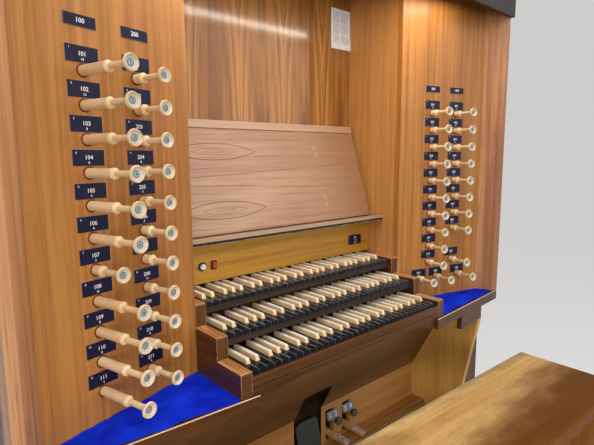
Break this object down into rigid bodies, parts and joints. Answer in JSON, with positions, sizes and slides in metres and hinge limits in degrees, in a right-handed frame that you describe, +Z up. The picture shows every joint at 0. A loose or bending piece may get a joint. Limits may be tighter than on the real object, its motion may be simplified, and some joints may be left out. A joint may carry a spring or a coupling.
{
  "type": "pipe organ console",
  "caption": "Organ console in a splayed wooden case niche, with drawstops, manuals, music desk, pedalboard and loose bench.",
  "frame": {"origin": "on the floor, under the middle of the outline of console and bench", "axes": "+Z up, +Y into the case, the player sits on the -Y side, +X to the player's right"},
  "size_m": [1.732, 0.9504, 1.962],
  "materials": {
    "jamb_teak": "satin teak veneer, upright grain",
    "stile_wood": "satin",
    "case_wood": "satin",
    "lintel_dark": "dark satin",
    "panel_walnut": "satin figured walnut veneer",
    "lamp_white": "white enamel",
    "slip_wood": "satin, worn pale on its edges",
    "ebony": "polished black",
    "ivory": "polished cream",
    "honey_wood": "satin",
    "switch_black": "gloss black",
    "desk_wood": "satin, figured",
    "blue_felt": "wool felt",
    "knee_wood": "satin",
    "rubber_black": "matt ribbed rubber",
    "steel": "worn",
    "pedal_oak": "worn satin",
    "pedal_dark": "worn dark stain",
    "bench_wood": "satin, worn pale on its edges",
    "knob_maple": "turned, satin"
  },
  "bodies": {
    "console": {"left_jamb": "jamb_teak", "right_jamb": "jamb_teak", "stiles": "stile_wood", "lintel": "lintel_dark", "back_panel": "panel_walnut", "returns": "jamb_teak", "case_sides": "case_wood", "lower_fronts": "case_wood", "case_back": "case_wood", "case_top": "case_wood", "console_lamp": "lamp_white", "keybed": "case_wood", "key_slip": "slip_wood", "key_beds": "lintel_dark", "cheeks": "slip_wood", "manual_1_naturals": "ebony", "manual_1_sharps": "ivory", "manual_2_naturals": "ebony", "manual_2_sharps": "ivory", "manual_3_naturals": "ebony", "manual_3_sharps": "ivory", "nameboard": "honey_wood", "nameboard_switches": "switch_black", "desk_ledge": "honey_wood", "music_desk": "desk_wood", "shelves": "case_wood", "left_felt": "blue_felt", "right_felt": "blue_felt", "kneeboard": "knee_wood", "toe_board": "knee_wood", "toe_rail": "honey_wood", "knee_sides": "honey_wood", "aprons": "case_wood", "toe_studs": "rubber_black", "swell_bearings": "steel", "coupler_brackets": "steel", "pedal_frame": "pedal_oak", "pedal_naturals": "pedal_oak", "pedal_sharps": "pedal_dark", "bench_top": "bench_wood", "bench_ends": "bench_wood", "bench_stretcher": "bench_wood", "left_inner_stops": "knob_maple", "right_stops": "knob_maple"},
    "pedal_stop_1": {"pedal_stop_1": "knob_maple"},
    "pedal_stop_2": {"pedal_stop_2": "knob_maple"},
    "pedal_stop_3": {"pedal_stop_3": "knob_maple"},
    "pedal_stop_4": {"pedal_stop_4": "knob_maple"},
    "pedal_stop_5": {"pedal_stop_5": "knob_maple"},
    "pedal_stop_6": {"pedal_stop_6": "knob_maple"},
    "pedal_stop_7": {"pedal_stop_7": "knob_maple"},
    "pedal_stop_8": {"pedal_stop_8": "knob_maple"},
    "pedal_stop_9": {"pedal_stop_9": "knob_maple"},
    "pedal_stop_10": {"pedal_stop_10": "knob_maple"},
    "pedal_stop_11": {"pedal_stop_11": "knob_maple"},
    "swell_pedal": {"swell_pedal": "rubber_black"},
    "coupler_pedal_1": {"coupler_pedal_1": "steel"},
    "coupler_pedal_2": {"coupler_pedal_2": "steel"}
  },
  "joints": [
    {"name": "stop_1_slide", "type": "slide", "parent": "console", "child": "pedal_stop_1", "axis": [0.2622, -0.965, 0], "range_m": [-0.055, 0]},
    {"name": "stop_2_slide", "type": "slide", "parent": "console", "child": "pedal_stop_2", "axis": [0.2622, -0.965, 0], "range_m": [-0.055, 0]},
    {"name": "stop_3_slide", "type": "slide", "parent": "console", "child": "pedal_stop_3", "axis": [0.2622, -0.965, 0], "range_m": [-0.055, 0]},
    {"name": "stop_4_slide", "type": "slide", "parent": "console", "child": "pedal_stop_4", "axis": [0.2622, -0.965, 0], "range_m": [-0.055, 0]},
    {"name": "stop_5_slide", "type": "slide", "parent": "console", "child": "pedal_stop_5", "axis": [0.2622, -0.965, 0], "range_m": [-0.055, 0]},
    {"name": "stop_6_slide", "type": "slide", "parent": "console", "child": "pedal_stop_6", "axis": [0.2622, -0.965, 0], "range_m": [-0.055, 0]},
    {"name": "stop_7_slide", "type": "slide", "parent": "console", "child": "pedal_stop_7", "axis": [0.2622, -0.965, 0], "range_m": [0, 0.055]},
    {"name": "stop_8_slide", "type": "slide", "parent": "console", "child": "pedal_stop_8", "axis": [0.2622, -0.965, 0], "range_m": [-0.055, 0]},
    {"name": "stop_9_slide", "type": "slide", "parent": "console", "child": "pedal_stop_9", "axis": [0.2622, -0.965, 0], "range_m": [-0.055, 0]},
    {"name": "stop_10_slide", "type": "slide", "parent": "console", "child": "pedal_stop_10", "axis": [0.2622, -0.965, 0], "range_m": [-0.055, 0]},
    {"name": "stop_11_slide", "type": "slide", "parent": "console", "child": "pedal_stop_11", "axis": [0.2622, -0.965, 0], "range_m": [-0.055, 0]},
    {"name": "swell_hinge", "type": "hinge", "parent": "console", "child": "swell_pedal", "pos_m": [0.068, 0.30947, 0.27219], "axis": [-1, 0, 0], "range_deg": [0, 24]},
    {"name": "coupler_1_hinge", "type": "hinge", "parent": "console", "child": "coupler_pedal_1", "pos_m": [0.184, 0.35319, 0.326], "axis": [1, 0, 0], "range_deg": [0, 4.5]},
    {"name": "coupler_2_hinge", "type": "hinge", "parent": "console", "child": "coupler_pedal_2", "pos_m": [0.272, 0.35319, 0.326], "axis": [1, 0, 0], "range_deg": [0, 4.5]}
  ]
}
